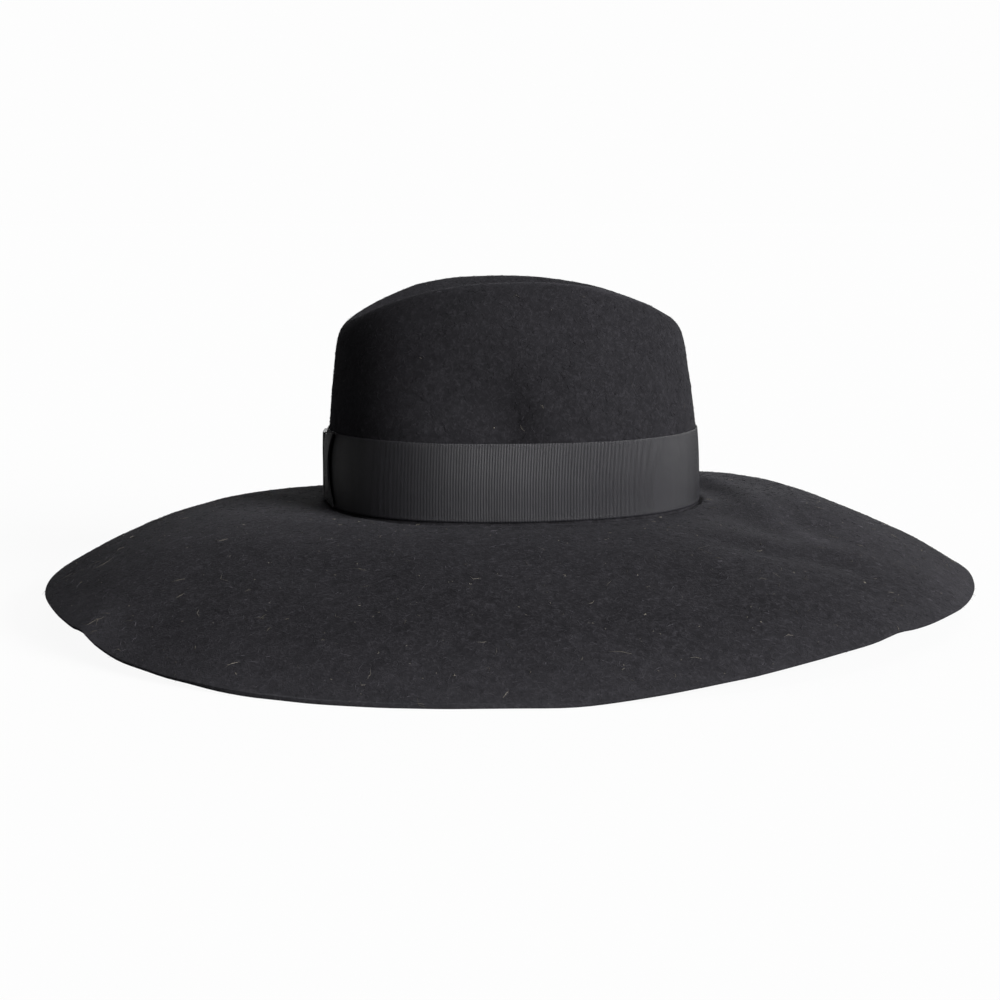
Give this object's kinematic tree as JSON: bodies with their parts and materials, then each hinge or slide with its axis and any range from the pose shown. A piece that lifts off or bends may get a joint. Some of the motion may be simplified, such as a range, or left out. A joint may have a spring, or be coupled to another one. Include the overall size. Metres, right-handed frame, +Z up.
{
  "type": "wide-brim felt hat",
  "caption": "Wide-brim felt hat with a creased crown, a drooping waved brim, a flat grosgrain band round the foot of the crown and a flat ribbon bow at the back.",
  "frame": {"origin": "middle of the hat's outline seen from above, on the surface it rests on (bottom centre of the bounding box)", "axes": "+Z up through the crown, +X to the front of the hat, +Y to the left side of its wearer"},
  "size_m": [0.5044, 0.468, 0.1774],
  "materials": {
    "felt": "matt black wool felt with a short soft nap",
    "band_ribbon": "black grosgrain ribbon with fine upright ribs and a slight sheen",
    "bow_ribbon": "black grosgrain ribbon, folded flat, with fine upright ribs"
  },
  "bodies": {
    "root": {"felt_body": "felt", "hat_band": "band_ribbon", "bow_loops": "bow_ribbon", "bow_keeper": "bow_ribbon"}
  },
  "joints": []
}
